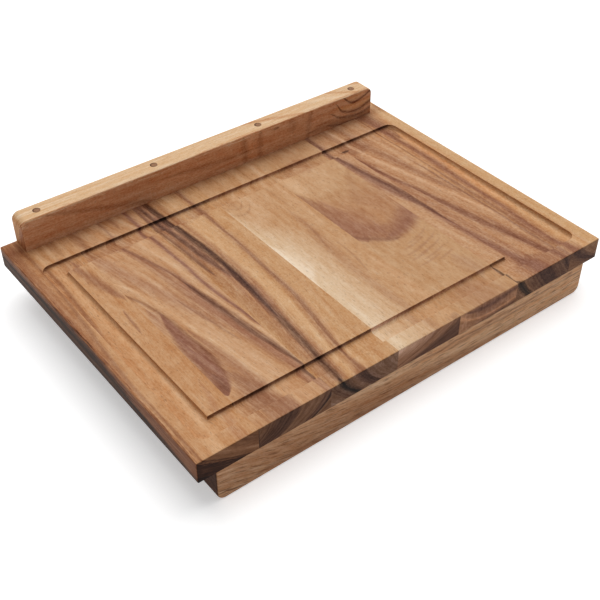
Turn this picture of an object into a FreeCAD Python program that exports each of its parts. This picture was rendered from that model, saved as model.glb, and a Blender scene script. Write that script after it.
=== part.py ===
import FreeCAD, Part
import os

import Sketcher

# A counter-edge cutting board: hardwood staves glued edge to edge into a panel, a routed juice groove
# that widens into a trough on the right, a backstop rail on top of the back edge and a lip under the
# front edge. Dowel plugs close the bores through which the two bars are fixed.
#
# Millimetres. X points to the right, Y away from the user and Z up. The origin is the middle of the
# inside corner that hooks over a counter's front edge: Z = 0 is the panel's underside, which lies on
# the counter, and Y = 0 is the lip's rear face, which stops against the counter's edge.

SIZES = [
    # The panel and its staves
    ("board_width", 600, "panel, side to side"),
    ("board_depth", 440, "panel, front to back, along the grain"),
    ("board_thickness", 28.5, "panel, underside to top"),
    ("stave_count", 7, "staves across the panel"),
    ("first_stave_width", 75, "stave at the left side, trimmed"),
    ("last_stave_width", 52.5, "stave at the right side, trimmed; the whole staves share the rest"),
    ("edge_ease", 1.5, "radius of the sanded edges of the panel"),
    ("slab_overrun", 5, "how far a parting slab runs past the panel"),
    # The juice groove and the trough
    ("groove_side_margin", 19, "rim left standing at each side"),
    ("groove_front_margin", 21.5, "rim left standing at the front"),
    ("groove_rail_gap", 40.5, "flat strip between groove and rail"),
    ("groove_width", 25, "one pass of the cutter"),
    ("groove_depth", 5.5, "below the panel's top"),
    ("groove_corner_radius", 12, "outer corners in plan, from the cutter's own radius"),
    ("cove_radius", 4.5, "round between wall and floor, from the cutter's bottom corner"),
    ("groove_rim_ease", 0.4, "radius of the sanded edges of the groove"),
    ("trough_width", 102, "wide arm of the groove on the right"),
    # The rail on top and the lip below
    ("rail_thickness", 28.5, "rail, front to back"),
    ("rail_height", 42.5, "rail, above the panel's top"),
    ("rail_end_inset", 22, "from the panel's side to the rail's end"),
    ("lip_thickness", 28.5, "lip, front to back"),
    ("lip_height", 45, "lip, below the panel's underside"),
    ("lip_end_inset", 22, "from the panel's side to the lip's end"),
    ("bar_end_radius", 10, "free corners at the ends of rail and lip"),
    ("bar_edge_ease", 2, "radius of the sanded edges of rail and lip"),
    # Plugs, the same row in the rail and in the lip
    ("plug_count", 4, "plugs in each row"),
    ("plug_side_distance", 50, "from the panel's side to the middle of the first plug"),
    ("plug_diameter", 10, "bore that takes the plug"),
    ("plug_bore_depth", 12, "from the bar's free face to the bottom of the bore"),
    ("plug_clearance", 0.05, "glue gap round a plug"),
    ("plug_gap", 0.2, "glue gap under a plug"),
    ("plug_chamfer", 0.8, "lead-in at a plug's inner end"),
]

TOUCH = 1e-4  # two lengths nearer than this are the same
UP = FreeCAD.Vector(0, 0, 1)

doc = FreeCAD.newDocument("cutting_board")
size = doc.addObject("Spreadsheet::Sheet", "size")
for row, (name, value, meaning) in enumerate(SIZES, start=1):
    size.set(f"A{row}", meaning)
    size.set(f"B{row}", str(value))
    size.setAlias(f"B{row}", name)
doc.recompute()


def value_of(expression):
    """The length that an expression on the sheet gives now."""
    return float(size.evalExpression(expression))


def bind(thing, **expressions):
    """Tie properties of an object to the sheet."""
    for prop, expression in expressions.items():
        thing.setExpression(prop, expression)


def place(thing, x, y, z):
    """Tie an object's place to the sheet."""
    for axis, expression in zip("xyz", (x, y, z)):
        thing.setExpression(f"Placement.Base.{axis}", expression)


def new_body(name):
    body = doc.addObject("PartDesign::Body", name)
    body.Label = name
    return body


def new_sketch(body, name, plane, height="0"):
    """A sketch on one of the body's own planes, raised from it by height."""
    sketch = body.newObject("Sketcher::SketchObject", name)
    support = next(f for f in body.Origin.OriginFeatures if f.Role == plane)
    sketch.AttachmentSupport = [(support, "")]
    sketch.MapMode = "FlatFace"
    sketch.setExpression("AttachmentOffset.Base.z", height)
    return sketch


def start_of(line):
    """A line's first point, as a constraint names it."""
    return line, 1


def end_of(line):
    """A line's last point, as a constraint names it."""
    return line, 2


def centre_of(circle):
    """A circle's middle, as a constraint names it."""
    return circle, 3


def hold(sketch, kind, expression, *where):
    """Add a measured constraint and tie its length to the sheet."""
    index = sketch.addConstraint(Sketcher.Constraint(kind, *where, value_of(expression)))
    sketch.setExpression(f"Constraints[{index}]", expression)


def hold_point(sketch, point, across, up):
    """Hold a point at two distances from the sketch's origin, or on its axes."""
    x_axis, y_axis = -1, -2
    for kind, axis, expression in (("DistanceX", y_axis, across), ("DistanceY", x_axis, up)):
        if expression == "0":
            sketch.addConstraint(Sketcher.Constraint("PointOnObject", *point, axis))
        else:
            hold(sketch, kind, expression, *start_of(x_axis), *point)


def draw_outline(sketch, corners):
    """A closed outline of straight lines through corners, each a pair of expressions."""
    points = [FreeCAD.Vector(value_of(across), value_of(up), 0) for across, up in corners]
    ends = points[1:] + points[:1]
    lines = [sketch.addGeometry(Part.LineSegment(a, b)) for a, b in zip(points, ends)]
    for line, following in zip(lines, lines[1:] + lines[:1]):
        sketch.addConstraint(Sketcher.Constraint("Coincident", *end_of(line), *start_of(following)))
    for line, (across, up) in zip(lines, corners):
        hold_point(sketch, start_of(line), across, up)


def draw_rectangle(sketch, left, low, right, high):
    draw_outline(sketch, [(left, low), (right, low), (right, high), (left, high)])


def pad(body, sketch, length):
    feature = body.newObject("PartDesign::Pad", f"{sketch.Name}_pad")
    feature.Profile = sketch
    bind(feature, Length=length)
    doc.recompute()
    return feature


def must_cut(feature, before):
    """A cut that misses the wood is an error."""
    if feature.Shape.Volume > before - TOUCH:
        raise RuntimeError(f"{feature.Name} removes nothing")


def round_edges(body, name, base, radius, wanted):
    """Fillet the edges of base whose bounding box passes the test wanted."""
    edges = [f"Edge{n}" for n, edge in enumerate(base.Shape.Edges, start=1) if wanted(edge.BoundBox)]
    feature = body.newObject("PartDesign::Fillet", name)
    feature.Base = (base, edges)
    bind(feature, Radius=radius)
    doc.recompute()
    return feature


def near(a, b):
    return abs(a - b) < TOUCH


def at_x(box, x):
    return near(box.XMin, x) and near(box.XMax, x)


def at_y(box, y):
    return near(box.YMin, y) and near(box.YMax, y)


def at_z(box, z):
    return near(box.ZMin, z) and near(box.ZMax, z)


PLUG_ROW = "(size.board_width - 2 * size.plug_side_distance)"
PLUG_PITCH = f"{PLUG_ROW} / (size.plug_count - 1)"


def bore_row(body, name, height, first_x, y, from_below=False):
    """A row of flat-bottomed bores along X, one for each plug."""
    sketch = new_sketch(body, f"{name}_centre", "XY_Plane", height)
    middle = FreeCAD.Vector(value_of(first_x), value_of(y), 0)
    circle = sketch.addGeometry(Part.Circle(middle, UP, value_of("size.plug_diameter") / 2))
    hold_point(sketch, centre_of(circle), first_x, y)
    hold(sketch, "Diameter", "size.plug_diameter", circle)
    doc.recompute()
    before = body.Shape.Volume
    hole = body.newObject("PartDesign::Hole", name)
    hole.Profile = sketch
    hole.Reversed = from_below
    hole.DepthType = "Dimension"
    hole.DrillPoint = "Flat"
    doc.recompute()
    bind(hole, Diameter="size.plug_diameter", Depth="size.plug_bore_depth")
    doc.recompute()
    must_cut(hole, before)
    pattern = body.newObject("PartDesign::LinearPattern", f"{name}_row")
    pattern.Originals = [hole]
    pattern.Direction = (sketch, ["H_Axis"])
    bind(pattern, Length=PLUG_ROW, Occurrences="size.plug_count")
    body.Tip = pattern
    doc.recompute()
    must_cut(pattern, hole.Shape.Volume)
    return pattern


# The panel, in one piece as it is after the glue-up. Its sketches start at its front left corner.

def ease_panel(body, base):
    """Sand the panel's edges, but not the two that the rail and the lip are flush with."""
    right, back, top = (value_of(f"size.{n}") for n in ("board_width", "board_depth", "board_thickness"))

    def outer_edge(box):
        side = at_x(box, 0) or at_x(box, right)
        front_top = at_y(box, 0) and at_z(box, top)
        back_bottom = at_y(box, back) and at_z(box, 0)
        return side or front_top or back_bottom

    return round_edges(body, "panel_eased", base, "size.edge_ease", outer_edge)


def rout_groove(body, base):
    """The juice groove round the cutting field, one cutter wide, and on the right as wide as the trough."""
    left = "size.groove_side_margin"
    front = "size.groove_front_margin"
    right = "size.board_width - size.groove_side_margin"
    back = "size.board_depth - size.rail_thickness - size.groove_rail_gap"
    sketch = new_sketch(body, "groove_outline", "XY_Plane", "size.board_thickness")
    draw_rectangle(sketch, left, front, right, back)
    draw_rectangle(sketch, f"{left} + size.groove_width", f"{front} + size.groove_width",
                   f"{right} - size.trough_width", f"{back} - size.groove_width")
    groove = body.newObject("PartDesign::Pocket", "groove")
    groove.Profile = sketch
    bind(groove, Length="size.groove_depth")
    doc.recompute()
    must_cut(groove, base.Shape.Volume)

    def outer_corner(box):
        at_side = at_x(box, value_of(left)) or at_x(box, value_of(right))
        at_end = at_y(box, value_of(front)) or at_y(box, value_of(back))
        return at_side and at_end

    corners = round_edges(body, "groove_corners", groove, "size.groove_corner_radius", outer_corner)
    floor = value_of("size.board_thickness - size.groove_depth")
    cove = round_edges(body, "groove_cove", corners, "size.cove_radius", lambda box: at_z(box, floor))
    ease = value_of("size.edge_ease")
    top = value_of("size.board_thickness")

    def rim(box):
        inside = box.XMin > ease + TOUCH and box.YMin > ease + TOUCH
        return at_z(box, top) and inside and box.YMax < value_of(back) + TOUCH

    return round_edges(body, "groove_rim", cove, "size.groove_rim_ease", rim)


def make_panel():
    body = new_body("panel")
    place(body, "-size.board_width / 2", "-size.lip_thickness", "0")
    outline = new_sketch(body, "panel_outline", "XY_Plane")
    draw_rectangle(outline, "0", "0", "size.board_width", "size.board_depth")
    blank = pad(body, outline, "size.board_thickness")
    eased = ease_panel(body, blank)
    rout_groove(body, eased)
    return body


def mark_lip_seat(panel):
    """The panel with the lip's glue area as a face of its own, apart from the face that lies on the counter."""
    length = value_of("size.board_width - 2 * size.lip_end_inset")
    depth = value_of("size.lip_thickness")
    seat = Part.makePlane(length, depth, FreeCAD.Vector(-length / 2, -depth, 0))
    marked, _ = panel.Shape.generalFuse([seat])
    feature = doc.addObject("Part::Feature", "marked_panel")
    feature.Shape = marked.Solids[0]
    return feature


# The staves, parted from the panel by slabs, so that the groove runs on from stave to stave.

STAVE_WIDTH = "(size.board_width - size.first_stave_width - size.last_stave_width) / (size.stave_count - 2)"


def glue_joint(number):
    """Where the joint on the right of a stave lies."""
    return f"-size.board_width / 2 + size.first_stave_width + {number - 1} * {STAVE_WIDTH}"


def make_stave(number, count, panel):
    left = glue_joint(number - 1) if number > 1 else "-size.board_width / 2 - size.slab_overrun"
    right = glue_joint(number) if number < count else "size.board_width / 2 + size.slab_overrun"
    slab = doc.addObject("Part::Box", f"slab_{number}")
    bind(slab, Length=f"({right}) - ({left})",
         Width="size.board_depth + 2 * size.slab_overrun",
         Height="size.board_thickness + 2 * size.slab_overrun")
    place(slab, left, "-size.lip_thickness - size.slab_overrun", "-size.slab_overrun")
    stave = doc.addObject("Part::Common", f"stave_{number}")
    stave.Base = panel
    stave.Tool = slab
    stave.Refine = False  # keeps the lip's glue area a face of its own
    return stave


# The rail and the lip: bars with two rounded corners. Their sketches start at the bar's lower left end.

def make_bar(name, length, height, thickness, free_top):
    """A bar with its free corners rounded and all edges sanded but those on the panel."""
    body = new_body(name)
    face = new_sketch(body, f"{name}_plan", "XY_Plane")
    draw_rectangle(face, "0", "0", length, thickness)
    blank = pad(body, face, height)
    free = value_of(height) if free_top else 0
    glued = 0 if free_top else value_of(height)

    def free_corner(box):
        return at_z(box, free) and (at_x(box, 0) or at_x(box, value_of(length)))

    rounded = round_edges(body, f"{name}_ends", blank, "size.bar_end_radius", free_corner)

    def long_way_round(box):
        on_face = at_y(box, 0) or at_y(box, value_of(thickness))
        return on_face and not at_z(box, glued)

    round_edges(body, f"{name}_eased", rounded, "size.bar_edge_ease", long_way_round)
    return body


def make_rail():
    body = make_bar("back_rail", "size.board_width - 2 * size.rail_end_inset",
                    "size.rail_height", "size.rail_thickness", free_top=True)
    bore_row(body, "rail_bores", "size.rail_height", "size.plug_side_distance - size.rail_end_inset",
             "size.rail_thickness / 2")
    place(body, "-size.board_width / 2 + size.rail_end_inset",
          "size.board_depth - size.lip_thickness - size.rail_thickness", "size.board_thickness")
    return body


def make_lip():
    body = make_bar("front_lip", "size.board_width - 2 * size.lip_end_inset",
                    "size.lip_height", "size.lip_thickness", free_top=False)
    bore_row(body, "lip_bores", "0", "size.plug_side_distance - size.lip_end_inset",
             "size.lip_thickness / 2", from_below=True)
    place(body, "-size.board_width / 2 + size.lip_end_inset", "-size.lip_thickness", "-size.lip_height")
    return body


# The plugs are turned: their profile is a half section that starts on the axis at the lower end.

def turn(name, profile):
    body = new_body(name)
    sketch = new_sketch(body, f"{name}_section", "XZ_Plane")
    draw_outline(sketch, profile)
    feature = body.newObject("PartDesign::Revolution", f"{name}_turned")
    feature.Profile = sketch
    feature.ReferenceAxis = (sketch, ["V_Axis"])
    feature.Angle = 360
    doc.recompute()
    return body


def plug_x(number):
    return f"-size.board_width / 2 + size.plug_side_distance + {number - 1} * {PLUG_PITCH}"


RAIL_PLUG_Y = "size.board_depth - size.lip_thickness - size.rail_thickness / 2"
LIP_PLUG_Y = "-size.lip_thickness / 2"
HALF_TURN = FreeCAD.Rotation(FreeCAD.Vector(1, 0, 0), 180)


def make_plug(name):
    """A dowel plug that stands on its outer end."""
    radius = "size.plug_diameter / 2 - size.plug_clearance"
    length = "size.plug_bore_depth - size.plug_gap"
    return turn(name, [
        ("0", "0"),
        (radius, "0"),
        (radius, f"{length} - size.plug_chamfer"),
        (f"{radius} - size.plug_chamfer", length),
        ("0", length),
    ])


def make_plugs():
    """One plug at every place of the two rows."""
    plugs = []
    for number in range(1, round(value_of("size.plug_count")) + 1):
        x = plug_x(number)
        rail_plug = make_plug(f"rail_plug_{number}")
        rail_plug.Placement.Rotation = HALF_TURN
        place(rail_plug, x, RAIL_PLUG_Y, "size.board_thickness + size.rail_height")
        lip_plug = make_plug(f"lip_plug_{number}")
        place(lip_plug, x, LIP_PLUG_Y, "-size.lip_height")
        plugs += [rail_plug, lip_plug]
    return plugs


def check(pieces):
    """Stop before anything is written if an object failed or a piece is not one sound solid."""
    for thing in doc.Objects:
        if {"Invalid", "Error"} & set(thing.State):
            raise RuntimeError(f"{thing.Name} failed: {thing.State}")
    for piece in pieces:
        shape = piece.Shape
        if shape.isNull() or not shape.isValid() or len(shape.Solids) != 1:
            raise RuntimeError(f"{piece.Label} is not one sound solid")


panel = make_panel()
doc.recompute()
blank = mark_lip_seat(panel)
count = round(value_of("size.stave_count"))
pieces = [make_stave(number, count, blank) for number in range(1, count + 1)]
pieces += [make_rail(), make_lip()]
pieces += make_plugs()
doc.recompute()
check(pieces)

os.makedirs("parts", exist_ok=True)
for piece in pieces:
    piece.Shape.exportStep(f"parts/{piece.Label}.step")
    print(piece.Label, round(piece.Shape.Volume), "mm3")
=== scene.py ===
import math
from collections import namedtuple

import bpy
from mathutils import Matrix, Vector


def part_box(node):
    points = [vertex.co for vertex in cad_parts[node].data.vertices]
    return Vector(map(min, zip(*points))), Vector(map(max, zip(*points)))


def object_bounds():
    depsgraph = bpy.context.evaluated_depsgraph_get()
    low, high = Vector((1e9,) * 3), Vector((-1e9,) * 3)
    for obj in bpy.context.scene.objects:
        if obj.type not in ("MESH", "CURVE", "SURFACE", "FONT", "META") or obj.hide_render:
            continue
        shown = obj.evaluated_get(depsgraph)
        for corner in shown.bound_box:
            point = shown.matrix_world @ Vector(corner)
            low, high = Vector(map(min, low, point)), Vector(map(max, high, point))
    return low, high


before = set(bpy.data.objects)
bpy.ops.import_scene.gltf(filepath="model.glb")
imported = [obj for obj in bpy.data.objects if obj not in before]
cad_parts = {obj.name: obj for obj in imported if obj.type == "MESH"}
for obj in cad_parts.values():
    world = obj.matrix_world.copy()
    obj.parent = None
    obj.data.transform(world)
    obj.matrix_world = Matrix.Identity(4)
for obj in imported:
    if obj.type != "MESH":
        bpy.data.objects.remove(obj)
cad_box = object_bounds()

# A counter-edge cutting board of oiled acacia, at rest on a white studio floor.
# The CAD solids are shown as they are, and everything here is finish, light and camera.
# Places in the wood are millimetres in the part's own frame: x to the right, y to the back, z up.

MM = 0.001

# Camera: where the photograph was taken from, and its lens on a square frame
CAMERA_AZIMUTH = -37.716
CAMERA_ELEVATION = 40.115
CAMERA_DISTANCE = 1212.05
CAMERA_TARGET = (-48.05, 132.33, 0.0)
LENS = 60.573
SENSOR = 36.0

# Studio: one broad soft lamp above and behind on the right, and a weak white surround
KEY_FROM = (0.30, 0.30, 0.91)
KEY_STRENGTH = 2.37
KEY_SPREAD = 68.0
FILL = 0.272
WHITE = "#FFFFFF"
PAPER = "#F1F1F1"
FLOOR_REACH = 6000.0
FLOOR_GLOW = 0.42


def linear(code):
    """An sRGB hex colour as a linear RGBA tuple."""
    channels = [int(code[i:i + 2], 16) / 255 for i in (1, 3, 5)]
    return tuple(c / 12.92 if c <= 0.04045 else ((c + 0.055) / 1.055) ** 2.4 for c in channels) + (1.0,)


def add(tree, kind, inputs=(), output=0, **settings):
    """Adds a shader node, applies its settings, fills or links its inputs and returns one output."""
    node = tree.nodes.new("ShaderNode" + kind)
    for key, value in settings.items():
        setattr(node, key, value)
    for key, value in inputs.items() if isinstance(inputs, dict) else enumerate(inputs):
        if isinstance(value, bpy.types.NodeSocket):
            tree.links.new(value, node.inputs[key])
        else:
            node.inputs[key].default_value = value
    return node.outputs[output] if node.outputs else None


def new_material(name):
    """An empty node material."""
    material = bpy.data.materials.new(name)
    material.use_nodes = True
    material.node_tree.nodes.clear()
    return material


# Wood. A board is cut from a log, so its figure runs right through it: the same streaks show on the face,
# turn down the edge and come out as arcs on the end. Every pattern is therefore drawn in the solid.

Cut = namedtuple("Cut", "along across inward face lean bow dive drift end streaky flecked dashed glue")
Cut.__doc__ = """How a piece was sawn: the axes along and across the grain, the axis into the piece and the
height of the face that it starts from, how far the figure leans and bows sideways on the way in, how far
arcs that cross the grain dive along it, the path of its fibres as (along, across), the tint of its end
grain, which drinks more oil, how strongly growth lines, flecks and dark dashes show, and where a glue line
shows on its end."""

Streak = namedtuple("Streak", "colour weight core ragged broken depth crossing points")
Streak.__doc__ = """One streak of the figure, with its colour at full weight over the core's share of its
width. The grain makes its edge ragged and breaks it up, and below its depth it is gone. Points are
(along, across, half width), or for an arc that crosses the grain, (across, along, half width)."""

Grain = namedtuple("Grain", "tree along across inward sunk side vector normal routed lines dashes rough")
Grain.__doc__ = """The sockets that a piece's patterns are drawn from."""

# Sizes of the patterns in millimetres across the grain, along it and into the piece.
# Real fibres and flecks are under a tenth of a millimetre wide; they are drawn coarser so that they show.
WAVES = (28.0, 110.0, 28.0)
LINES = (3.6, 150.0, 400.0)
BANDS = (12.0, 220.0, 400.0)
DASHES = (1.6, 20.0, 2.5)
MOTTLE = (6.5, 17.0, 6.5)
FIBRES = (0.9, 30.0, 0.9)
STIPPLE = (1.7, 3.4, 1.7)
PORES = (1.0, 7.0, 1.0)

# Streaks, in millimetres: the length that a curve spans, how far it runs level beyond its ends, how far the
# figure wavers, the least half width, the half width with full weight, the depth of a streak that goes
# right through, and how far from an arch's vertex its rise is measured
SPAN = 1000.0
LEVEL = 12.0
WAVER = 3.0
LEAST_HALF = 0.1
FADE = 2.0
THROUGH = 1000.0
ARCH_SIDE = 10.0

# The brown stain round a vein, and how much wider it is than the vein
STAIN = "#9E6E57"
STAIN_REACH = 2.0

# Where noise has most of its values, where it opens gaps in a streak, and the share of a skin that is whole
NOISE = (0.3, 0.7)
GAPS = (0.3, 0.6)
SKIN_WHOLE = 0.3

# How far each pattern swings the tone
LINES_SWING = 0.12
BANDS_SWING = 0.065
MOTTLE_SWING = 0.11
FIBRES_SWING = 0.06
STIPPLE_SWING = 0.10

# The floor of a groove is drawn a tone deeper: how far it faces out, the depths in mm where it starts and
# is whole, and how much deeper the tone is
FACING_OUT = 0.5
ROUTED_FROM = (2.0, 5.0)
ROUTED_DEPTH = 0.06

# Open pores and dark dashes: the noise where they start and are whole, the pores' share, and the colour and
# relief of both
PORE_NOISE = (0.60, 0.74)
PORE_SHARE = 0.4
DASH_NOISE = (0.52, 0.68)
PORE_COLOUR = "#6A4630"
PORE_SINK = 0.8

# Oil: its tint, how far a face turns to the grain's end where it is soaked, and how that darkens a tone
OIL_TINT = "#FFFBF7"
END_TURN = (0.6, 0.9)
END_GREY = 0.25
END_DEPTH = 0.9

# A glue line: where it is whole and gone in mm from the joint, and its share and colour
GLUE_WIDTH = (0.4, 1.2)
GLUE_SHARE = 0.8
GLUE_COLOUR = "#20140E"

# Oiled wood is satin, and its open grain scatters nearly all of the shine
SATIN = (0.46, 0.58)
SHINE = 0.06

# Sockets of a colour mix: its share, what lies under, what lies over and the result
SHARE = 0
UNDER = 6
OVER = 7
MIXED = 2


def band(colour, weight, *points, core=0.0, ragged=0.8, depth=THROUGH):
    """A broad band of another tone, soft edged unless it has a core, and skin deep if it has a depth."""
    return [Streak(colour, weight, core, ragged, broken=0.25, depth=depth, crossing=False, points=points)]


def vein(colour, weight, *points, stain=0.6, shift=0.0):
    """A dark vein of heartwood, broken up by the grain, in a brown stain that is shifted to one side."""
    stained = [(along, across + shift, half * STAIN_REACH) for along, across, half in points]
    heart = Streak(colour, weight, core=0.1, ragged=0.9, broken=0.3, depth=THROUGH, crossing=False,
                   points=points)
    return [*band(STAIN, stain, *stained), heart]


def arc(colour, weight, *points, core=0.0):
    """A band that crosses the grain."""
    return [Streak(colour, weight, core, ragged=0.5, broken=0.4, depth=THROUGH, crossing=True,
                   points=points)]


def arch(colour, weight, middle, vertex, rise, half, reach):
    """An arch that is open to the back: rise is its height at ARCH_SIDE to either side of its vertex."""
    shares = ((-1.0, 0.0), (-0.67, 0.7), (-0.33, 1.0), (0.0, 1.0), (0.33, 1.0), (0.67, 0.7), (1.0, 0.0))
    return arc(colour, weight, *[
        (middle + reach * side, vertex + rise * (reach * side / ARCH_SIDE) ** 2, half * part)
        for side, part in shares])


def ripple(middle, height, reach, rise):
    """A faint line across the grain that climbs to the right, steeper as it goes."""
    steps = ((-1.0, 0.0, 0.0), (-0.5, 0.03, 3.2), (0.0, 0.22, 3.6), (0.5, 0.55, 3.2), (1.0, 1.0, 0.0))
    return arc("#9A6C54", 0.36, *[
        (middle + reach * side, height + rise * climb, half) for side, climb, half in steps])


def curve(tree, socket, pairs):
    """A smooth curve through pairs of millimetres, level beyond its ends, read at the place in a socket."""
    place = add(tree, "MapRange", [socket, -SPAN / 2, SPAN / 2, 0.0, 1.0])
    drawn = add(tree, "FloatCurve", {"Value": place})
    points = drawn.node.mapping.curves[0].points
    first, last = min(pairs), max(pairs)
    pairs = [(first[0] - LEVEL, first[1]), *pairs, (last[0] + LEVEL, last[1])]
    knots = sorted((key / SPAN + 0.5, value / SPAN + 0.5) for key, value in pairs)
    for number, knot in enumerate(knots):
        if number < len(points):
            points[number].location = knot
        else:
            points.new(*knot)
    drawn.node.mapping.extend = "HORIZONTAL"
    drawn.node.mapping.use_clip = False
    drawn.node.mapping.update()
    return add(tree, "MapRange", [drawn, 0.0, 1.0, -SPAN / 2, SPAN / 2], clamp=False)


def pattern(tree, vector, size, detail=2.0, roughness=0.5):
    """Noise whose features have this size in millimetres across the grain, along it and into the piece."""
    scaled = add(tree, "VectorMath", [vector, tuple(1 / length for length in size)], operation="MULTIPLY")
    return add(tree, "TexNoise", {"Vector": scaled, "Scale": 1.0, "Detail": detail, "Roughness": roughness})


def grain_of(tree, cut):
    """The grain's own coordinates in millimetres, with the figure's lean, bow and slow waver."""
    place = add(tree, "TexCoord", output="Object")
    place = add(tree, "VectorMath", {0: place, "Scale": 1 / MM}, operation="SCALE")
    axes = add(tree, "SeparateXYZ", [place]).node.outputs
    along = axes[cut.along]
    facing = add(tree, "SeparateXYZ", [add(tree, "TexCoord", output="Normal")]).node.outputs
    normal = facing[cut.along]
    sign = -1.0 if cut.inward == "Z" else 1.0
    inward = add(tree, "Math", [axes[cut.inward], sign, -sign * cut.face], operation="MULTIPLY_ADD")
    below = add(tree, "MapRange", [inward, *ROUTED_FROM, 0.0, 1.0])
    outward = add(tree, "Math", [facing[cut.inward], -sign], operation="MULTIPLY")
    routed = add(tree, "MapRange", [outward, 0.0, FACING_OUT, 0.0, below])
    bend = add(tree, "Math", [inward, -cut.bow, -cut.lean], operation="MULTIPLY_ADD")
    side = axes[cut.across]
    leant = add(tree, "Math", [inward, bend, side], operation="MULTIPLY_ADD")
    sunk = add(tree, "Math", [inward, -cut.dive, along], operation="MULTIPLY_ADD")
    waves = pattern(tree, add(tree, "CombineXYZ", [leant, along, inward]), WAVES, detail=5.0, roughness=0.6)
    across = add(tree, "Math", [waves, 2 * WAVER, leant], operation="MULTIPLY_ADD")
    across = add(tree, "Math", [across, WAVER], operation="SUBTRACT")
    fibre = add(tree, "Math", [across, curve(tree, along, cut.drift)], operation="SUBTRACT")
    vector = add(tree, "CombineXYZ", [fibre, along, inward])
    lines = pattern(tree, vector, LINES, detail=4.0, roughness=0.55)
    dashes = pattern(tree, vector, DASHES)
    rough = add(tree, "Math", [lines, dashes], operation="ADD")
    return Grain(tree, along, across, inward, sunk, side, vector, normal, routed, lines, dashes, rough)


def draw_streak(grain, colour, streak):
    """Lays one streak over a colour."""
    tree = grain.tree
    run, side = (grain.across, grain.sunk) if streak.crossing else (grain.along, grain.across)
    middle = curve(tree, run, [(key, place) for key, place, half in streak.points])
    half = curve(tree, run, [(key, half) for key, place, half in streak.points])
    half = add(tree, "Math", [half, LEAST_HALF], operation="MAXIMUM")
    away = add(tree, "Math", [side, middle], operation="SUBTRACT")
    away = add(tree, "Math", [away], operation="ABSOLUTE")
    away = add(tree, "Math", [away, half], operation="DIVIDE")
    ragged = add(tree, "Math", [grain.rough, streak.ragged, -streak.ragged], operation="MULTIPLY_ADD")
    away = add(tree, "Math", [away, ragged], operation="ADD")
    share = add(tree, "MapRange", [away, 1.0, streak.core, 0.0, 1.0], interpolation_type="SMOOTHSTEP")
    whole = add(tree, "MapRange", [half, LEAST_HALF, FADE, 0.0, streak.weight])
    share = add(tree, "Math", [share, whole], operation="MULTIPLY")
    gaps = add(tree, "MapRange", [grain.dashes, *GAPS, 1 - streak.broken, 1.0])
    share = add(tree, "Math", [share, gaps], operation="MULTIPLY")
    if streak.depth < THROUGH:
        skin = add(tree, "MapRange", [grain.inward, SKIN_WHOLE * streak.depth, streak.depth, 1.0, 0.0])
        share = add(tree, "Math", [share, skin], operation="MULTIPLY")
    return add(tree, "Mix", {SHARE: share, UNDER: colour, OVER: linear(streak.colour)}, output=MIXED,
               data_type="RGBA")


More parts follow.
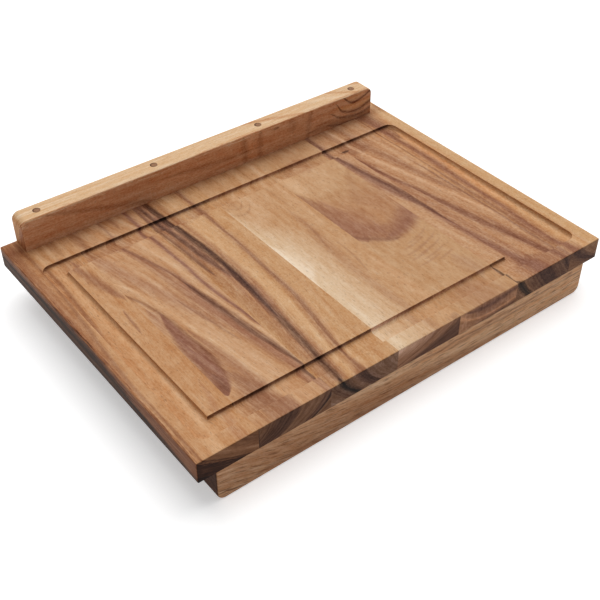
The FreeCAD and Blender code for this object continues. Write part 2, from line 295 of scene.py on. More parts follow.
def acacia(name, base, cut, *figure):
    """Acacia, planed, sanded and oiled: warm brown with dark streaks, open pores and a satin gloss."""
    material = new_material(name)
    tree = material.node_tree
    grain = grain_of(tree, cut)
    colour = linear(base)
    for streak in sum(figure, []):
        colour = draw_streak(grain, colour, streak)

    # A deeper tone on groove floors, growth lines and bands, mottle, fibres and flecks. A higher power is
    # deeper and redder
    bands = pattern(tree, grain.vector, BANDS, detail=3.0)
    fibres = pattern(tree, grain.vector, FIBRES, detail=3.0, roughness=0.65)
    mottle = pattern(tree, grain.vector, MOTTLE)
    stipple = pattern(tree, grain.vector, STIPPLE, roughness=0.6)
    swings = (
        (grain.lines, LINES_SWING * cut.streaky),
        (bands, BANDS_SWING * (1 + cut.streaky)),
        (mottle, MOTTLE_SWING),
        (fibres, FIBRES_SWING),
        (stipple, STIPPLE_SWING * cut.flecked),
    )
    power = add(tree, "Math", [grain.routed, ROUTED_DEPTH, 1.0], operation="MULTIPLY_ADD")
    for layer, swing in swings:
        share = add(tree, "MapRange", [layer, *NOISE, 1 + swing, 1 - swing])
        power = add(tree, "Math", [power, share], operation="MULTIPLY")
    colour = add(tree, "Gamma", [colour, power])

    # Pores are open vessels about 0.25 mm wide; they are drawn four times as wide so that they show
    pores = pattern(tree, grain.vector, PORES, detail=1.0)
    pores = add(tree, "MapRange", [pores, *PORE_NOISE, 0.0, PORE_SHARE])
    dashes = add(tree, "MapRange", [grain.dashes, *DASH_NOISE, 0.0, cut.dashed])
    dark = add(tree, "Math", [pores, dashes], operation="MAXIMUM")
    colour = add(tree, "Mix", {SHARE: dark, UNDER: colour, OVER: linear(PORE_COLOUR)}, output=MIXED,
                 data_type="RGBA")

    # Oil tints the wood amber, and end grain drinks more of it, most of all where it is dark already
    turned = add(tree, "Math", [grain.normal], operation="ABSOLUTE")
    turned = add(tree, "MapRange", [turned, *END_TURN, 0.0, 1.0])
    grey = add(tree, "Math", [add(tree, "RGBToBW", [colour]), END_GREY], operation="DIVIDE")
    grey = add(tree, "Math", [grey, END_DEPTH], operation="POWER")
    soaked = add(tree, "VectorMath", {0: linear(cut.end)[:3], "Scale": grey}, operation="SCALE")
    oil = add(tree, "Mix", {SHARE: turned, UNDER: linear(OIL_TINT), OVER: soaked}, output=MIXED,
              data_type="RGBA")
    colour = add(tree, "Mix", {SHARE: 1.0, UNDER: colour, OVER: oil}, output=MIXED,
                 data_type="RGBA", blend_type="MULTIPLY")

    # A glue line is about 0.1 mm wide; it is drawn about ten times as wide so that it shows
    if cut.glue is not None:
        away = add(tree, "Math", [grain.side, cut.glue], operation="SUBTRACT")
        line = add(tree, "MapRange", [away, *GLUE_WIDTH, GLUE_SHARE, 0.0])
        line = add(tree, "Math", [line, turned], operation="MULTIPLY")
        colour = add(tree, "Mix", {SHARE: line, UNDER: colour, OVER: linear(GLUE_COLOUR)}, output=MIXED,
                     data_type="RGBA")

    height = add(tree, "Math", [dark, -PORE_SINK, fibres], operation="MULTIPLY_ADD")
    relief = add(tree, "Bump", {"Strength": 0.25, "Distance": 0.15 * MM, "Height": height})
    gloss = add(tree, "MapRange", [fibres, *NOISE, *SATIN])
    surface = add(tree, "BsdfPrincipled", {"Base Color": colour, "Roughness": gloss, "Normal": relief,
                                           "Specular IOR Level": SHINE})
    add(tree, "OutputMaterial", [surface])
    return material


# The pieces. The staves' grain runs from front to back, and the bars' grain from end to end.

BOARD_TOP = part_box("stave_1")[1].z / MM
RAIL_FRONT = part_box("back_rail")[0].y / MM
LIP_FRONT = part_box("front_lip")[0].y / MM
STRAIGHT = ((-300, 0), (412, 0))
DARK_END = "#8E8280"

# Painted shade: the wood in front of the rail's foot is drawn darker and redder, as its shadow and red
# bounce
RAIL_FOOT_PAINTED_SHADE = [Streak("#7A4529", weight=0.5, core=0.0, ragged=0.5, broken=0.2, depth=6.0, crossing=True,
                    points=((-300, 388, 24), (300, 388, 24)))]


def stave_cut(lean, bow, *drift, dive=0.0, end=DARK_END, streaky=1.0, flecked=1.0, glue=None):
    """A stave's cut: grain along y, streaks across x, worked inwards from the top."""
    return Cut("Y", "X", "Z", BOARD_TOP, lean, bow, dive, drift or STRAIGHT, end, streaky, flecked,
               dashed=0.0, glue=glue)


def bar_cut(front, lean, *drift, end, streaky, flecked=1.0, dashed=0.0):
    """A bar's cut: grain along x, streaks across z, worked inwards from the front."""
    return Cut("X", "Z", "Y", front, lean, bow=0.0, dive=0.0, drift=drift or STRAIGHT, end=end,
               streaky=streaky, flecked=flecked, dashed=dashed, glue=None)


def stave_1():
    """Even orange-brown, with the dark heart coming out on its left side."""
    return acacia(
        "acacia_stave_1_oiled", "#C4956B", stave_cut(1.5, 0.02, end="#91827E"),
        # Paler along the groove's floor, and darker on its floor at the back
        band("#D6AA80", 0.75, (412, -272, 4), (340, -272, 5), (300, -271, 10), (200, -271, 12),
             (-28, -271, 13)),
        band("#D4A87D", 0.7, (24, -250, 0), (12, -248, 20), (-4, -248, 20), (-16, -250, 0)),
        band("#A36F4C", 0.6, (350, -255, 0), (335, -256, 22), (320, -256, 22), (308, -256, 0)),
        # Browner towards the rim, with a few short streaks
        band("#976445", 0.85, (412, -294, 18), (260, -296, 16), (150, -299, 14), (60, -302, 10),
             (-28, -303, 8)),
        band("#875A43", 0.6, (412, -281, 4), (300, -281.5, 5), (205, -287, 5), (100, -294, 4)),
        band("#A0714F", 0.5, (412, -250, 9), (365, -248, 8), (340, -246, 0)),
        band("#92634B", 0.8, (345, -252, 0), (315, -246, 9), (290, -241, 12), (265, -236, 12),
             (245, -231, 8), (225, -227, 0)),
        band("#8A5A43", 0.75, (222, -238.5, 0), (200, -241, 3.8), (180, -243, 3.6), (160, -245, 0)),
        band("#AE7B5A", 0.6, (75, -234, 0), (40, -238, 6), (5, -247, 10), (-28, -243, 12)),
        # The dark heart, which comes out on the left side; painted shade makes it darker still on that side
        band("#794A35", 0.9, (412, -330, 33), (-28, -330, 33), core=0.82),
        band("#331E12", 1.0, (412, -352, 43), (315, -351, 43), (260, -346, 43), (200, -344, 43),
             (160, -346, 43), (110, -355, 42), (70, -364, 42), (20, -374, 42), (-28, -384, 42),
             core=0.8),
        band("#1F140E", 0.9, (412, -322, 6), (330, -321, 7), (230, -321, 8), (150, -326, 8),
             (60, -341, 6), (-28, -358, 6)),
        band("#604432", 0.7, (412, -336, 5), (250, -335, 5), (150, -339, 5), (80, -350, 0)),
        RAIL_FOOT_PAINTED_SHADE,
    )


def stave_2():
    """Bands that sweep from back left to front right round a purple-brown lens at the left joint."""
    return acacia(
        "acacia_stave_2_oiled", "#C3966F",
        stave_cut(-0.2, -0.03, (412, -215), (300, -188), (200, -173), (100, -160), (-28, -145),
                  end="#8B7F7E", glue=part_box("stave_2")[0].x / MM),
        # The strip at the back and the groove's floor there
        band("#94664B", 0.65, (412, -216, 11), (365, -216, 10), (345, -216, 8), (330, -214, 9),
             (312, -212, 0)),
        band("#9C6D50", 0.6, (350, -180, 0), (335, -182, 40), (320, -182, 40), (308, -182, 0)),
        band("#96674C", 0.6, (412, -164, 7), (370, -164, 6), (350, -164, 0)),
        band("#D2A57C", 0.8, (412, -192, 7), (350, -192, 6), (335, -192, 0)),
        band("#8E6048", 0.7, (412, -181, 3), (345, -179.5, 2.8), (325, -180, 0)),
        # Broad brown sweeps
        band("#AE8265", 0.8, (340, -226, 0), (310, -217, 16), (280, -209, 18), (250, -201, 18),
             (225, -192, 18), (190, -181, 16), (150, -171, 11), (110, -163, 0)),
        band("#9E7158", 0.7, (335, -186, 0), (300, -180, 5), (270, -173, 8), (180, -163, 12),
             (100, -152, 12), (30, -142, 9), (-10, -136, 7)),
        band("#A2755A", 0.75, (150, -200, 0), (110, -196, 11), (40, -188, 14), (-28, -180, 15)),
        band("#93664E", 0.8, (70, -204, 0), (40, -200, 14), (12, -196, 28), (-10, -192, 36),
             (-28, -188, 40)),
        band("#A67A60", 0.7, (205, -219, 0), (180, -217, 12), (155, -215, 14), (130, -214, 0)),
        # The lens, its darker end and the line round it
        band("#8B5D4A", 1.0, (192, -208.5, 0), (170, -210.5, 5), (150, -212.5, 9), (135, -213.2, 12),
             (120, -213.5, 14.5), (90, -212.8, 16.5), (65, -213.8, 15.5), (52, -215.3, 14),
             (44, -217, 12), (38, -218.6, 9.6), (34, -220, 7), (31, -221, 4), (29, -221.5, 0), core=0.4,
             ragged=0.35),
        band("#744F40", 0.45, (70, -218, 0), (54, -217, 7), (44, -217, 8), (38, -217, 7), (31, -217, 0),
             ragged=0.4),
        band("#84583F", 0.7, (245, -227, 0), (228, -222, 3.4), (200, -213, 4.4), (165, -206.5, 4.4),
             (130, -203.8, 4), (95, -203, 3.4), (65, -205, 2.8), (45, -210, 0)),
        # Pale lines between the sweeps, and a dark one
        band("#D6AE88", 0.85, (275, -230, 0), (250, -218, 4), (225, -209, 5), (175, -198, 6),
             (120, -189, 7), (60, -178, 7), (-28, -166, 6)),
        band("#CCA27E", 0.7, (340, -214, 0), (300, -203, 5), (245, -189, 5.5), (205, -182, 0)),
        band("#CFA47E", 0.65, (165, -190, 0), (120, -181, 7), (60, -168, 9), (-28, -156, 9)),
        band("#8F644D", 0.6, (205, -183, 0), (175, -178, 3), (150, -173, 3.4), (110, -166, 3),
             (80, -161, 0)),
        band("#D6AE88", 0.8, (335, -160, 0), (310, -157, 7), (260, -150, 7), (200, -146, 7),
             (150, -141, 7), (75, -132, 5)),
        # Dark veins towards the right joint
        vein("#8A5F4A", 0.85, (335, -186, 0), (305, -178, 3.4), (265, -167, 4), (235, -160, 4.6),
             (205, -155, 5), (180, -153, 0), stain=0.4),
        vein("#684536", 0.92, (225, -158, 0), (195, -154.5, 5.5), (150, -150, 7.8), (105, -144.5, 7.8),
             (65, -138, 6.4), (28, -132.5, 5), (-10, -128, 4), stain=0.7, shift=-4),
        vein("#84584A", 0.85, (412, -142.5, 5), (340, -142, 4.6), (250, -139.7, 4), (190, -138, 3.8),
             (150, -134.5, 3.4), (110, -131, 2.6), (80, -129, 0)),
        RAIL_FOOT_PAINTED_SHADE,
    )


def stave_3():
    """Tan with a near-black heart streak, bowed like a drawn line, and a thinner one beside it."""
    return acacia(
        "acacia_stave_3_oiled", "#C79B70",
        stave_cut(0.4, 0.015, (412, 4), (210, 14), (-28, -8), end="#918B98", streaky=0.8, flecked=1.4),
        # Brown to the left of the heart streak, and the groove's floor at the back
        band("#A57552", 0.8, (412, -122, 15), (250, -119, 16), (120, -119, 16), (40, -122, 13),
             (-28, -127, 8)),
        band("#765040", 0.8, (330, -127, 5), (300, -126, 6.5), (270, -124, 7), (235, -122.5, 6),
             (190, -120, 0)),
        band("#765040", 0.75, (412, -126, 5), (345, -126, 5), (325, -127, 0)),
        band("#94664A", 0.6, (350, -84, 0), (336, -84, 50), (322, -84, 50), (308, -84, 0)),
        band("#664435", 0.85, (350, -116, 0), (338, -115, 16), (325, -115, 16), (308, -113, 0)),
        # Tan and golden lines
        band("#D6AD83", 0.75, (412, -84, 11), (230, -81, 13), (150, -82, 12), (80, -87, 10),
             (0, -97, 7)),
        band("#BB8A5F", 0.6, (190, -44, 0), (130, -46, 6), (60, -51, 7), (-28, -56, 8)),
        band("#AA7B58", 0.7, (412, -99, 6), (280, -93, 7), (180, -91, 7), (60, -102, 6),
             (-28, -108, 6)),
        # The thinner streak and the heart streak
        vein("#4A3028", 0.92, (412, -121, 5), (330, -118, 5.8), (280, -113.6, 6.6), (240, -111, 6),
             (210, -108, 4.6), (185, -105.4, 3.2), (150, -103.5, 0), stain=0.6),
        vein("#573A2D", 0.92, (236, -102, 0), (196, -102, 4), (160, -102, 8), (130, -103.5, 8.4),
             (100, -105.5, 8.4), (40, -110.5, 8), (-18, -115, 7), (-24, -115.5, 5), (-28, -116, 0),
             stain=0.7),
        vein("#452C24", 0.97, (412, -112, 6.4), (330, -107.5, 7), (290, -104, 8), (250, -101.4, 9),
             (210, -100.4, 9.2), (170, -101.4, 8.6), (130, -103.5, 6), (80, -107, 0), stain=0.6),
        band("#3F2820", 0.95, (-20, -115, 0), (-27, -116, 8), (-29, -116, 8)),
        # The brown line on the right
        band("#B58660", 0.5, (165, -68, 0), (100, -75, 6), (55, -83, 7), (-28, -93, 7)),
        band("#D8AF86", 0.6, (150, -60, 0), (100, -63, 4), (55, -71, 5), (-28, -81, 4)),
        vein("#8B5E44", 0.8, (412, -61, 5.4), (345, -61, 5), (335, -60, 6), (322, -60, 6),
             (310, -61, 4), (240, -61.5, 4), (150, -65.5, 4.4), (100, -70, 4.8), (55, -78, 5.4),
             (-18, -87, 5.4), (-28, -88, 9), stain=0.5),
        RAIL_FOOT_PAINTED_SHADE,
    )


def stave_4():
    """The palest: a skin of creamy sapwood on the left, over tan wood that warms to the right."""
    return acacia(
        "acacia_stave_4_oiled", "#C3976E", stave_cut(-0.6, -0.08, end="#AFA0A3", streaky=0.5),
        # The skin of sapwood, brightest in the middle
        band("#E4CBAB", 0.95, (330, -45, 0), (300, -45, 16), (275, -45, 30), (245, -45, 46),
             (205, -45, 76), (150, -45, 90), (-28, -45, 92), depth=16),
        band("#F5E4CE", 0.85, (240, -37, 0), (205, -37, 6), (190, -37, 16), (165, -37, 26),
             (140, -37, 24), (122, -37, 8), (100, -37, 0), depth=7),
        band("#EAD3B6", 0.5, (60, -28, 0), (40, -28, 9), (20, -27, 10), (-10, -27, 8), (-28, -27, 0),
             depth=7),
        band("#D2AC87", 0.7, (345, 4, 0), (318, 2, 26), (290, -4, 34), (265, -14, 30), (235, -16, 0)),
        # Warmer bands to the right
        band("#AE805D", 0.65, (270, 30, 0), (215, 28, 12), (180, 23, 14), (140, 20, 14), (90, 19, 12),
             (30, 20, 10), (-28, 24, 10)),
        band("#9A6C4F", 0.5, (250, 31, 0), (205, 28, 3.2), (175, 22, 3), (140, 18, 0)),
        band("#9A6C4F", 0.4, (190, 37, 0), (150, 36, 3), (120, 33, 3), (80, 26, 0)),
        band("#B1845E", 0.6, (412, 30, 4), (330, 35, 3.2), (290, 36.5, 3), (225, 38, 0)),
        band("#D0A882", 0.7, (412, 52, 6), (317, 51, 9), (260, 50, 9), (185, 47, 0)),
        band("#D0A882", 0.7, (130, 50, 0), (95, 50, 8), (20, 50, 8), (-28, 50, 7)),
        # Darker wood at the front
        band("#7D5848", 0.7, (-8, 100, 0), (-24, 100, 70), (-28, 100, 70), core=0.4),
        # A small knot at the back
        band("#B08460", 0.5, (332, -20, 0), (317, -20, 9), (306, -20, 6), (299, -20, 0)),
        arch("#A87C58", 0.55, -20, 299, 7.0, 4.5, reach=16),
        arch("#AE8460", 0.5, -20, 284, 4.5, 5, reach=20),
        RAIL_FOOT_PAINTED_SHADE,
    )


def stave_5():
    """Plain sawn, with cathedral arches that open to the back and a purple-brown crescent in their bend."""
    ripples = [ripple(*place) for place in (
        (124, 110, 26, 15), (112, 103, 24, 10), (128, 97, 24, 13), (106, 92, 24, 7), (122, 85, 26, 11),
        (100, 81, 20, 5), (118, 74, 24, 9), (104, 67, 22, 5), (126, 63, 18, 7))]
    return acacia(
        "acacia_stave_5_oiled", "#C1976F",
        stave_cut(0.15, 0.0, dive=4.0, end="#CCBDC0", streaky=0.2, flecked=0.8),
        # The strip at the back, drawn darker as painted shade of the rail, and the groove's floor at the
        # back and the front
        band("#A26C4A", 0.28, (412, 110, 50), (365, 110, 50), (345, 110, 30), (312, 110, 0)),
        band("#96603F", 0.6, (349, 106, 0), (340, 106, 54), (322, 106, 54), (309, 106, 0)),
        band("#A5785C", 0.6, (20, 106, 0), (11, 106, 44), (-28, 106, 50)),
        # Pale wood at the back of the field
        band("#CDA57F", 0.6, (340, 100, 0), (318, 100, 66), (288, 98, 60), (264, 90, 30), (250, 84, 0)),
        band("#D8B28C", 0.75, (335, 66, 0), (314, 68, 18), (295, 70, 18), (278, 69, 10), (260, 68, 0)),
        # Brown wood inside the arches, and the streak on their left
        arc("#AE7E5B", 0.95, (46, 200, 80), (75, 194, 84), (105, 190, 86), (135, 198, 86),
            (160, 206, 84)),
        band("#98694F", 0.8, (296, 55, 0), (262, 58, 11), (240, 60, 18), (220, 62, 24), (198, 63, 30),
             (175, 64, 32), (155, 66, 20), (140, 68, 0), core=0.2),
        band("#A37350", 0.4, (296, 156, 0), (275, 145, 10), (250, 131, 12), (225, 117, 11),
             (200, 106, 9), (182, 98, 0)),
        band("#A3745A", 0.55, (262, 72, 0), (230, 76, 15), (200, 82, 23), (175, 88, 26), (155, 94, 18),
             (140, 98, 0)),
        band("#C69B74", 0.6, (284, 66, 0), (262, 72, 4.4), (240, 79, 4.6), (220, 86, 4), (204, 91, 0)),
        band("#C3966E", 0.5, (230, 96, 0), (210, 108, 9), (190, 116, 12), (172, 114, 10),
             (158, 112, 0)),
        # The crescent, its purple bend, its dark lower line and the ripples in front of it
        arc("#9B6C53", 0.92, (48, 203, 52), (60, 184, 44), (72, 168, 37), (84, 156, 33),
            (96, 147.5, 29), (106, 142.5, 25), (114, 141, 23), (124, 145, 25.5), (136, 152, 28),
            (150, 160.5, 29), (160, 166, 28), core=0.3),
        arc("#8A5C4B", 0.5, (86, 133, 0), (98, 134, 9), (112, 136, 13), (125, 141, 15), (140, 148, 17),
            (156, 157, 17)),
        arc("#7B503F", 0.6, (50, 170, 6), (62, 157, 7), (70, 148, 8), (80, 139, 8.4), (90, 131, 8),
            (98, 127, 6), (108, 126, 0)),
        *ripples,
        # A greyer patch at the front right
        band("#B08A70", 0.45, (66, 130, 0), (45, 133, 20), (25, 136, 22), (10, 138, 0)),
        # Arches further inside, which come out on the end
        arc("#8E6452", 0.8, (62, -34, 0), (80, -48, 20), (100, -60, 28), (120, -60, 28), (140, -50, 22),
            (156, -44, 18)),
        arc("#D8A878", 0.8, (54, -48, 30), (64, -66, 24), (76, -94, 16), (100, -114, 13),
            (125, -114, 11), (150, -104, 8)),
        arc("#7E5643", 0.7, (74, -138, 0), (100, -144, 14), (130, -138, 18), (156, -130, 20)),
        RAIL_FOOT_PAINTED_SHADE,
    )


def stave_6():
    """Streaky brown with pale lines that fan out to the front right, behind a dark slanting streak."""
    return acacia(
        "acacia_stave_6_oiled", "#C0936E",
        stave_cut(0.45, 0.01, (412, 186), (200, 205), (-28, 228), end="#9D9392", streaky=0.5, flecked=1.8),
        # Tan and brown bands, darker at the front and on the groove's floor at the back
        band("#C59972", 0.75, (230, 155, 0), (190, 158, 6), (150, 161, 9), (100, 163, 10),
             (-10, 160, 10)),
        band("#A37354", 0.65, (412, 184, 8), (316, 187, 9), (260, 186, 9), (200, 186, 8), (150, 190, 8),
             (100, 195, 6), (-28, 204, 7)),
        band("#9A6D52", 0.65, (412, 206, 10), (330, 212, 12), (260, 223, 13), (200, 232, 10),
             (140, 239, 0)),
        band("#9D7055", 0.7, (115, 221, 0), (50, 228, 10), (-28, 236, 11)),
        band("#8C5B42", 0.62, (12, 205, 0), (-6, 205, 50), (-28, 205, 56)),
        band("#8C5B40", 0.6, (350, 200, 0), (336, 200, 44), (322, 200, 44), (308, 200, 0)),
        # Pale lines that fan out
        band("#DAB28F", 0.78, (412, 188, 4), (340, 195, 4.4), (300, 200.5, 5), (250, 208.5, 6),
             (215, 216, 7), (180, 224, 6), (130, 234, 5.5), (80, 241, 4.4), (40, 245, 0)),
        band("#D0A680", 0.65, (412, 226, 4), (340, 233, 5), (300, 234.5, 5.5), (235, 235, 4),
             (190, 236, 0)),
        # The dark slanting streak and its branches
        band("#8B6050", 0.6, (335, 157, 0), (295, 159, 12), (250, 162, 14), (220, 164, 14),
             (190, 168, 10), (160, 172, 0)),
        vein("#865A49", 0.87, (165, 177, 0), (130, 178.5, 8), (100, 180.5, 10), (60, 185, 11),
             (20, 190.5, 12), (-10, 194, 17), (-28, 196, 18), stain=0.4),
        vein("#70493A", 0.95, (412, 156, 6.4), (340, 156.5, 6.4), (318, 157, 6.4), (300, 159.5, 7.6),
             (260, 164.5, 9), (210, 171, 10), (165, 176, 9.4), (130, 178.5, 7), (90, 180.5, 0),
             stain=0.4),
        vein("#7E503C", 0.8, (320, 181, 0), (280, 184.5, 5.6), (240, 189, 5.6), (200, 196.5, 5.4),
             (160, 202, 7.6), (120, 208.5, 9), (75, 216, 9), (40, 223.5, 8), (0, 232, 8), (-28, 237, 9),
             stain=0.4),
        band("#835845", 0.7, (280, 240, 0), (190, 242, 4), (120, 244, 4.8), (40, 244, 5.6),
             (-28, 246, 5.6)),
        # A short nick at the back, and a dark line along the left joint in front
        arc("#432920", 0.95, (174, 328.6, 0), (178, 328.4, 4), (185, 328.2, 4), (190, 328, 0)),
        band("#34211A", 0.9, (20, 154, 0), (10, 154, 3.6), (-12, 154, 3.6), (-24, 154, 3.4),
             (-28, 157, 9)),
        RAIL_FOOT_PAINTED_SHADE,
    )


def stave_7():
    """Orange-brown with one wavy dark line, and golden sapwood along the right edge."""
    return acacia(
        "acacia_stave_7_oiled", "#C4956B", stave_cut(0.5, 0.035, streaky=0.6, flecked=1.8),
        # Sapwood along the right edge
        band("#D0A77A", 0.95, (412, 295, 15), (200, 294, 14), (-28, 294, 15), core=0.4),
        # Dark at the back, golden in the trough, and dark again along the left joint
        band("#825640", 0.8, (412, 266, 14), (365, 266, 13), (335, 266, 14), (318, 267, 10),
             (300, 268, 0)),
        band("#DEA878", 0.8, (330, 274, 0), (300, 273, 11), (200, 272, 14), (105, 270, 10),
             (60, 270, 0)),
        band("#D4A87C", 0.85, (135, 271, 0), (80, 269, 10), (20, 268, 12), (-28, 275, 11)),
        band("#8B5F49", 0.7, (230, 249, 2), (150, 249, 7), (60, 248, 8), (10, 250, 12), (-12, 255, 18),
             (-28, 256, 20)),
        # The wavy line
        vein("#93664F", 0.85, (412, 253, 8), (350, 258, 6.8), (300, 260.5, 5.8), (240, 262, 6.8),
             (190, 260.5, 6.2), (150, 259.5, 5.4), (100, 257.5, 5.8), (40, 254, 6.4), (-20, 257, 6.4),
             (-28, 257, 10)),
        RAIL_FOOT_PAINTED_SHADE,
    )


def back_rail():
    """Pale sapwood over a redder heart, which shows on the front with a slanting streak and nested arcs."""
    dark = "#86502F"
    darkest = "#5E3420"
    gold = "#DBA574"
    return acacia(
        "acacia_rail_oiled", "#DFBC95",
        bar_cut(RAIL_FRONT, -2.0, end="#B09680", streaky=1.5, flecked=2.0),
        # Slanting bands on the top
        band("#C2895B", 0.85, (40, 138, 4), (75, 122, 10), (110, 100, 11), (150, 74, 9), (165, 66, 0)),
        band("#C58F62", 0.75, (195, 138, 5), (222, 112, 10), (245, 84, 10), (258, 72, 0)),
        band("#EBD0B0", 0.8, (150, 124, 0), (185, 110, 16), (215, 90, 12), (235, 76, 0)),
        band("#C8905E", 0.8, (235, 140, 0), (262, 122, 16), (290, 100, 16)),
        # The heart, up to the top edge of the front
        band("#CC926C", 1.0, (-300, 36, 38), (0, 36, 38), (300, 36, 38), core=0.9),
        # The slanting streak, and soft marks across the front
        band(dark, 0.45, (-262, 72, 0), (-229, 64.5, 5), (-200, 56.4, 6), (-156, 44.4, 6),
             (-119, 35.5, 6), (-90, 29, 0)),
        band(dark, 0.4, (-100, 56, 0), (-20, 50, 8), (40, 46, 6), (100, 44, 0)),
        arc(dark, 0.5, (26, 51, 7), (64, 50, 7), (72, 49, 0)),
        arc(dark, 0.4, (26, 76, 6), (64, 77, 6), (72, 78, 0)),
        arc("#D9A078", 0.5, (26, 62, 9), (64, 63, 9), (72, 63, 0)),
        arc(dark, 0.4, (44, 133, 0), (52, 133, 12), (66, 132, 12), (72, 131, 0)),
        arc(dark, 0.45, (26, 160, 6), (64, 165, 7), (72, 167, 0)),
        # A short mark, and nested arcs at the right end, dark on gold
        band(dark, 0.6, (155, 34, 0), (185, 36, 12), (220, 34, 12), (290, 30, 10)),
        band(darkest, 0.7, (95, 64, 0), (102, 64, 2.6), (106, 64, 2.6), (113, 64, 0)),
        band(gold, 0.8, (205, 58, 0), (232, 52, 6), (262, 51, 6), (290, 56, 6)),
        band(gold, 0.6, (225, 67, 0), (242, 65, 5), (255, 65, 5), (268, 68, 0)),
        band(darkest, 0.9, (222, 72, 0), (229, 66.5, 3), (234, 61.7, 3.4), (242, 57.7, 3.8),
             (250, 57.7, 3.8), (263, 61, 3.4), (276, 66, 3.4)),
        band(darkest, 0.8, (208, 68, 0), (215, 60, 3), (220, 52, 3.8), (228, 47.2, 4.4), (240, 44, 4.4),
             (256, 44, 4.4), (276, 50, 5)),
        band(darkest, 0.75, (196, 54, 0), (207, 48.8, 3), (215, 42.4, 4), (232, 37.6, 4.4),
             (256, 36, 4.4), (276, 39, 5)),
        band(darkest, 0.7, (190, 36, 0), (205, 32, 4), (230, 29, 4), (276, 28, 4)),
    )


def front_lip():
    """A brown bar covered in fine dark dashes, which slant on the left and run level on the right."""
    path = ((-278, 46), (-200, 20), (-100, -2), (0, -12), (278, -16))
    dark = "#8C604A"
    return acacia(
        "acacia_lip_oiled", "#D8AB84",
        # End grain darkened by oil, and darker still as painted shade under the board's overhang
        bar_cut(LIP_FRONT, 0.4, *path, end="#5E4E48", streaky=1.5, dashed=0.75),
        # Browner to the left, paler to the right
        band("#B07F5C", 0.85, (-278, -16, 44), (-150, -24, 38), (0, -34, 26), (160, -40, 0)),
        band("#94654A", 0.55, (-260, -36, 0), (-180, -38, 7), (-90, -40, 6), (0, -42, 0)),
        band("#E0AF86", 0.7, (120, -24, 0), (190, -28, 14), (278, -28, 20)),
        # Wavy dark lines
        band(dark, 0.6, (-40, -6, 0), (0, -7, 2.6), (30, -9.5, 3), (62, -8, 3), (95, -10.5, 3),
             (130, -8.5, 3), (170, -11, 3), (215, -9.5, 2.6), (262, -10, 2.4)),
        band(dark, 0.5, (20, -14, 0), (60, -15, 2.8), (110, -13.5, 2.8), (160, -16, 2.8),
             (220, -14.5, 0)),
        # A dark mark at the lower left
        band("#5A3A2C", 0.8, (-272, -32, 0), (-266, -36, 2.4), (-255, -40, 2.4), (-238, -42, 0)),
    )


# Dowel ends: their two tones, the dark ring at their rim with its share, the distances in mm where it
# starts and is whole, the middle that it is drawn round, a little off the plug's own, and the specks
DOWEL_TONES = ("#866046", "#A87F61")
RING_COLOUR = "#543320"
RING_SHARE = 0.85
RING_FROM = (3.2, 4.6)
RING_MIDDLE = (0.5, -0.5, 0.0)
SPECKS_TO_MM = 1.2
SPECK_NOISE = (0.35, 0.65)
DOWEL_SATIN = (0.55, 0.65)


def dowel():
    """Dowel ends, sawn flush and sanded: speckled end grain in a dark ring of soaked-in glue and oil."""
    first, second = (sum(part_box(f"rail_plug_{number}"), Vector()) / 2 / MM for number in (1, 2))
    below = sum(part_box("lip_plug_1"), Vector()) / 2 / MM
    pitch = second.x - first.x
    row_gap = first.y - below.y
    material = new_material("dowel_end_grain_sanded")
    tree = material.node_tree
    place = add(tree, "TexCoord", output="Object")
    place = add(tree, "VectorMath", {0: place, "Scale": 1 / MM}, operation="SCALE")

    # One fold brings all plugs of the two rows to the same place, so that one ring serves them all
    axes = add(tree, "SeparateXYZ", [place]).node.outputs
    x = add(tree, "Math", [axes["X"], first.x], operation="SUBTRACT")
    x = add(tree, "Math", [x, pitch / 2, -pitch / 2], operation="WRAP")
    y = add(tree, "Math", [axes["Y"], below.y], operation="SUBTRACT")
    y = add(tree, "Math", [y, row_gap / 2, -row_gap / 2], operation="WRAP")
    away = add(tree, "VectorMath", [add(tree, "CombineXYZ", [x, y]), RING_MIDDLE], operation="SUBTRACT")
    away = add(tree, "VectorMath", [away], output="Value", operation="LENGTH")

    # Cut vessels are about 0.2 mm wide; the specks are drawn four times as wide so that they show
    specks = add(tree, "TexNoise", {"Vector": place, "Scale": SPECKS_TO_MM, "Detail": 2.0})
    share = add(tree, "MapRange", [specks, *SPECK_NOISE, 0.0, 1.0])
    dark, pale = (linear(tone) for tone in DOWEL_TONES)
    colour = add(tree, "Mix", {SHARE: share, UNDER: dark, OVER: pale}, output=MIXED, data_type="RGBA")
    ring = add(tree, "MapRange", [away, *RING_FROM, 0.0, RING_SHARE])
    colour = add(tree, "Mix", {SHARE: ring, UNDER: colour, OVER: linear(RING_COLOUR)}, output=MIXED,
                 data_type="RGBA")
    relief = add(tree, "Bump", {"Strength": 0.3, "Distance": 0.1 * MM, "Height": specks})
    gloss = add(tree, "MapRange", [specks, *NOISE, *DOWEL_SATIN])
    surface = add(tree, "BsdfPrincipled", {"Base Color": colour, "Roughness": gloss, "Normal": relief,
                                           "Specular IOR Level": SHINE})
    add(tree, "OutputMaterial", [surface])
    return material


def finish_nodes():
    """Gives every solid its finish."""
    makers = [stave_1, stave_2, stave_3, stave_4, stave_5, stave_6, stave_7, back_rail, front_lip]
    finishes = {maker.__name__: maker() for maker in makers}
    plug_finish = dowel()
    for name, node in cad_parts.items():
        node.data.materials.clear()
        node.data.materials.append(finishes.get(name, plug_finish))


# Studio

def seen_directly(tree):
    """1 for what the camera sees, also in a reflection or through glass, and 0 for light on the object."""
    path = add(tree, "LightPath").node.outputs
    seen = add(tree, "Math", [path["Is Camera Ray"], path["Is Glossy Ray"]], operation="MAXIMUM")
    return add(tree, "Math", [seen, path["Is Transmission Ray"]], operation="MAXIMUM")


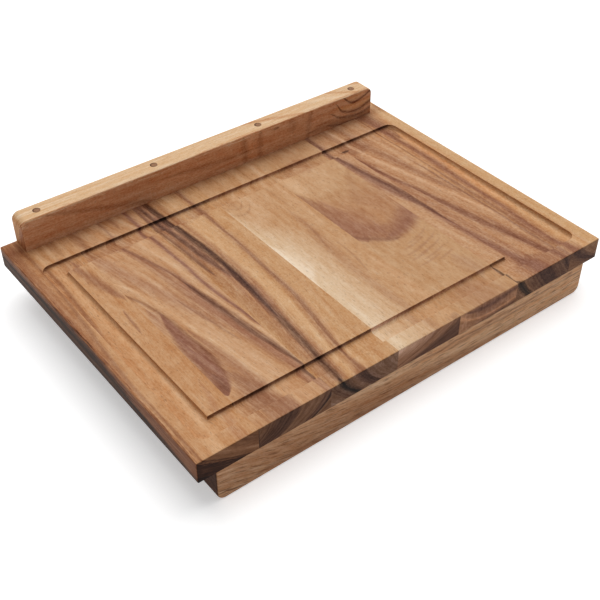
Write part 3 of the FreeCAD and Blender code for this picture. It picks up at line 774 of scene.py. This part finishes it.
def make_floor():
    """A white sweep that the object stands on; to the camera it glows a little, so that it stays white."""
    low = cad_box[0].z
    reach = FLOOR_REACH * MM
    corners = [(-reach, -reach, low), (reach, -reach, low), (reach, reach, low), (-reach, reach, low)]
    mesh = bpy.data.meshes.new("studio_floor")
    mesh.from_pydata(corners, [], [(0, 1, 2, 3)])
    floor = bpy.data.objects.new("studio_floor", mesh)
    bpy.context.scene.collection.objects.link(floor)
    material = new_material("studio_paper_matt")
    tree = material.node_tree
    glow = add(tree, "Math", [seen_directly(tree), FLOOR_GLOW], operation="MULTIPLY")
    paper = add(tree, "BsdfDiffuse", {"Color": linear(PAPER)})
    shine = add(tree, "Emission", {"Strength": glow})
    both = add(tree, "AddShader", [paper, shine])
    add(tree, "OutputMaterial", [both])
    mesh.materials.append(material)


def make_surround():
    """A white room: weak on the object, plain white to the eye and in reflections."""
    world = bpy.data.worlds.new("white_studio")
    bpy.context.scene.world = world
    world.use_nodes = True
    tree = world.node_tree
    tree.nodes.clear()
    strength = add(tree, "MapRange", [seen_directly(tree), 0.0, 1.0, FILL, 1.0])
    light = add(tree, "Background", {"Color": linear(WHITE), "Strength": strength})
    add(tree, "OutputWorld", [light])


def make_key():
    """The broad lamp."""
    lamp = bpy.data.lights.new("key_lamp", "SUN")
    lamp.energy = KEY_STRENGTH
    lamp.angle = math.radians(KEY_SPREAD)
    key = bpy.data.objects.new("key_lamp", lamp)
    key.rotation_euler = Vector(KEY_FROM).to_track_quat("Z", "Y").to_euler()
    bpy.context.scene.collection.objects.link(key)


def make_camera():
    """The photograph's viewpoint, as an angle and a distance from a point on the board."""
    turn = math.radians(CAMERA_AZIMUTH)
    rise = math.radians(CAMERA_ELEVATION)
    back = Vector((math.sin(turn) * math.cos(rise), -math.cos(turn) * math.cos(rise), math.sin(rise)))
    data = bpy.data.cameras.new("camera")
    data.lens = LENS
    data.sensor_width = SENSOR
    camera = bpy.data.objects.new("camera", data)
    camera.location = (Vector(CAMERA_TARGET) + back * CAMERA_DISTANCE) * MM
    camera.rotation_euler = back.to_track_quat("Z", "Y").to_euler()
    bpy.context.scene.collection.objects.link(camera)
    bpy.context.scene.camera = camera


finish_nodes()
make_floor()
make_surround()
make_key()
make_camera()
bpy.context.scene.view_settings.view_transform = "Standard"
